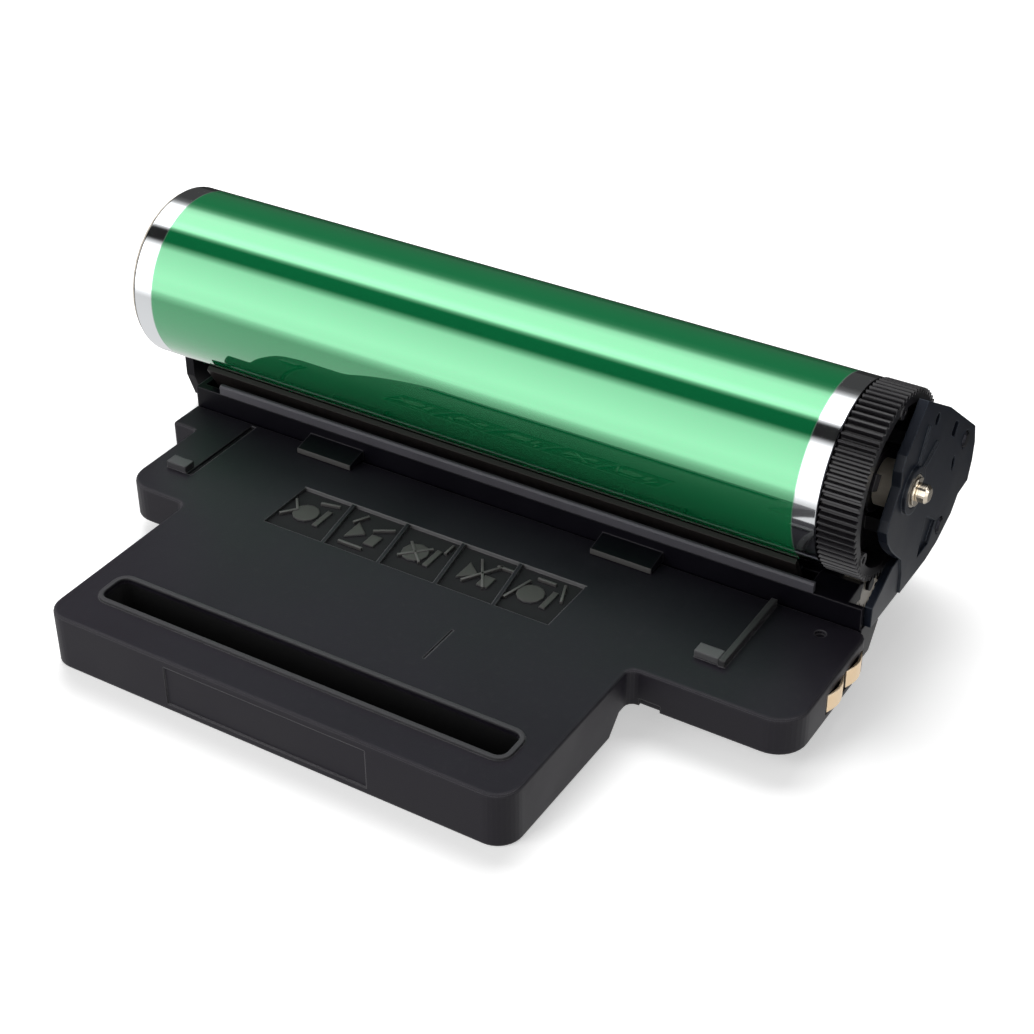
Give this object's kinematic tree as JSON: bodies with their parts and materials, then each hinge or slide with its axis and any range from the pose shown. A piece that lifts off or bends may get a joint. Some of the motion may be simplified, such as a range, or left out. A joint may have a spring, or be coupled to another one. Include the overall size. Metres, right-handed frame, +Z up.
{
  "type": "printer drum unit",
  "caption": "Printer drum unit: a flat waste-toner tray with a finger slot, a long frame, and a green drum that turns above it between two end plates.",
  "frame": {"origin": "on the surface the unit stands on, straight below the middle of the drum's axis", "axes": "+X along the drum towards its gear, +Y from the tray to the back, +Z up"},
  "size_m": [0.2916, 0.1995, 0.0883],
  "materials": {
    "tray_plastic": "charcoal moulded plastic with a fine matt texture",
    "frame_plastic": "charcoal moulded plastic",
    "gear_plastic": "black acetal, slightly shiny",
    "plate_plastic": "blue-black moulded plastic, slightly shiny",
    "acetal": "off-white acetal",
    "seal": "light grey sealing strip",
    "drum_coat": "aluminium tube with a glossy green photoconductive coating and a bare band at each end",
    "steel": "ground steel",
    "dark_steel": "blackened steel",
    "brass": "bright brass",
    "rubber": "black conductive rubber",
    "foam": "grey foam",
    "urethane": "dark brown urethane"
  },
  "bodies": {
    "base": {"bearing_spring_left": "steel", "bearing_spring_right": "steel", "blade_bracket": "dark_steel", "blade_screw_1": "dark_steel", "blade_screw_2": "dark_steel", "blade_screw_3": "dark_steel", "cleaning_blade": "urethane", "contact_front": "brass", "contact_rear": "brass", "drum_frame": "frame_plastic", "left_bushing": "acetal", "left_end_plate": "frame_plastic", "plate_screw_1": "dark_steel", "plate_screw_2": "dark_steel", "plate_screw_3": "dark_steel", "plate_screw_4": "dark_steel", "right_bushing": "acetal", "right_end_plate": "plate_plastic", "roller_bearing_left": "acetal", "roller_bearing_right": "acetal", "seal_strip": "seal", "tray_base": "tray_plastic", "tray_cover": "tray_plastic", "tray_screw_1": "steel", "tray_screw_2": "steel", "tray_screw_3": "steel", "tray_screw_4": "steel"},
    "drum": {"drum_tube": "drum_coat", "drum_gear": "gear_plastic", "left_flange": "acetal", "drum_shaft": "steel", "shaft_clip_left": "steel", "shaft_clip_right": "steel"},
    "charge_roller": {"charge_roller_core": "steel", "charge_roller_sleeve": "rubber"},
    "cleaner": {"cleaner_core": "steel", "cleaner_sleeve": "foam"},
    "idler": {"idler_gear": "acetal"},
    "auger": {"waste_auger": "acetal", "auger_gear": "acetal"}
  },
  "joints": [
    {"name": "drum_spin", "type": "hinge", "parent": "base", "child": "drum", "pos_m": [0, 0, 0.058], "axis": [1, 0, 0], "continuous": true},
    {"name": "charge_roller_spin", "type": "hinge", "parent": "base", "child": "charge_roller", "pos_m": [0, 0.02567, 0.03233], "axis": [1, 0, 0], "continuous": true},
    {"name": "cleaner_spin", "type": "hinge", "parent": "base", "child": "cleaner", "pos_m": [0, 0.03295, 0.02505], "axis": [1, 0, 0], "continuous": true},
    {"name": "idler_spin", "type": "hinge", "parent": "base", "child": "idler", "pos_m": [0, -0.00105, 0.02041], "axis": [1, 0, 0], "continuous": true},
    {"name": "auger_spin", "type": "hinge", "parent": "base", "child": "auger", "pos_m": [0, -0.01357, 0.01415], "axis": [1, 0, 0], "continuous": true}
  ],
  "couplings": [
    {"joint": "charge_roller_spin", "follows": "drum_spin", "ratio": -5},
    {"joint": "cleaner_spin", "follows": "drum_spin", "ratio": 7.5},
    {"joint": "idler_spin", "follows": "drum_spin", "ratio": -3.7},
    {"joint": "auger_spin", "follows": "drum_spin", "ratio": 4.9333}
  ]
}
